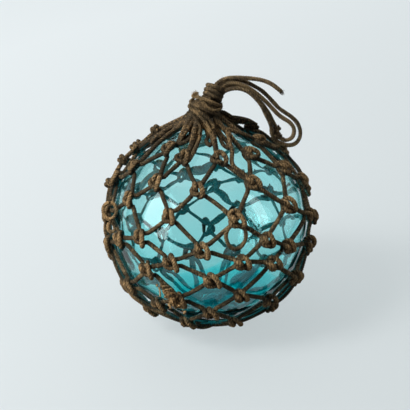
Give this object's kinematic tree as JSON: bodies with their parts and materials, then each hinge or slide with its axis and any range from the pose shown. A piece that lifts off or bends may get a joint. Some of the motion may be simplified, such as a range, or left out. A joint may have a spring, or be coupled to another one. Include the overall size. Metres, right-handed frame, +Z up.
{
  "type": "glass float ball",
  "caption": "Round blown-glass fishing float in a knotted tarred-rope net, gathered into a whipped neck with a doubled rope lanyard.",
  "frame": {"origin": "on the ground under the middle of the ball, at the centre of the start ring's flat underside", "axes": "+Z up through the ball to the neck, +X the way the neck leans and the lanyard hangs, -Y the front"},
  "size_m": [0.1454, 0.1459, 0.1716],
  "materials": {
    "sea_glass": "clear aqua blown glass, glossy, with a thick darker seal at the bottom",
    "net_rope": "tarred three-strand rope, matte, dark brown with worn lighter strands",
    "neck_twine": "tarred twine in tight turns, hairy on the lower turns",
    "lanyard_rope": "tarred three-strand rope, matte, frayed in one place"
  },
  "bodies": {
    "root": {"glass_ball": "sea_glass", "rope_net": "net_rope", "neck_whipping_lower": "neck_twine", "neck_whipping_upper": "neck_twine", "lanyard_loop_outer": "lanyard_rope", "lanyard_loop_inner": "lanyard_rope", "lanyard_free_end": "lanyard_rope"}
  },
  "joints": []
}
